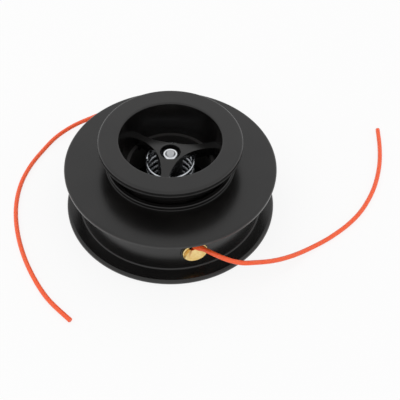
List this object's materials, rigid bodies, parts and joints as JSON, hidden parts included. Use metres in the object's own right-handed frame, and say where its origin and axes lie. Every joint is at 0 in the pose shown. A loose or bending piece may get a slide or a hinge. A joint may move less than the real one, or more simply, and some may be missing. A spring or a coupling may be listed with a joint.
{
  "type": "trimmer head",
  "caption": "Round black bump-feed head with a flanged barrel, a deep-cupped tap knob over a spring, brass eyelets and curled ends of orange line.",
  "frame": {"origin": "on the head's axis, in the plane that its machine-side flange stands on", "axes": "+Z along the axis from the machine side to the tap knob; -Y towards the side seen in the picture; the front eyelet lies 75.5 degrees clockwise from +X seen from +Z"},
  "size_m": [0.2081, 0.1394, 0.0482],
  "materials": {
    "shell": "smooth moulded black nylon, softly glossy",
    "spool": "moulded black nylon",
    "line": "extruded orange nylon line",
    "steel": "turned steel",
    "zinc": "bright zinc plating",
    "bronze": "sintered bronze",
    "brass": "turned brass"
  },
  "bodies": {
    "housing": {"housing": "shell", "cover": "shell", "arbor": "steel", "arbor_washer": "steel", "circlip": "steel", "retaining_washer": "steel", "lock_nut": "zinc", "eyelet_front": "brass", "eyelet_back": "brass", "eyelet_ring_front": "steel", "eyelet_ring_back": "steel", "line_front": "line", "line_back": "line"},
    "spring_carrier": {"spring_seat": "steel", "spring": "zinc"},
    "tap_unit": {"knob": "shell", "hub_bush": "bronze", "spool": "spool", "winding_lower": "line", "winding_upper": "line"}
  },
  "joints": [
    {"name": "spool_index", "type": "hinge", "parent": "housing", "child": "spring_carrier", "pos_m": [0, 0, 0.02], "axis": [0, 0, 1], "range_deg": [0, 30]},
    {"name": "knob_tap", "type": "slide", "parent": "spring_carrier", "child": "tap_unit", "axis": [0, 0, -1], "range_m": [0, 0.0045], "stiffness_N_per_m": 980, "springref_m": -0.01, "deforming": ["spring"]}
  ],
  "couplings": [
    {"joint": "spool_index", "follows": "knob_tap", "rad_per_m": 116.35}
  ]
}
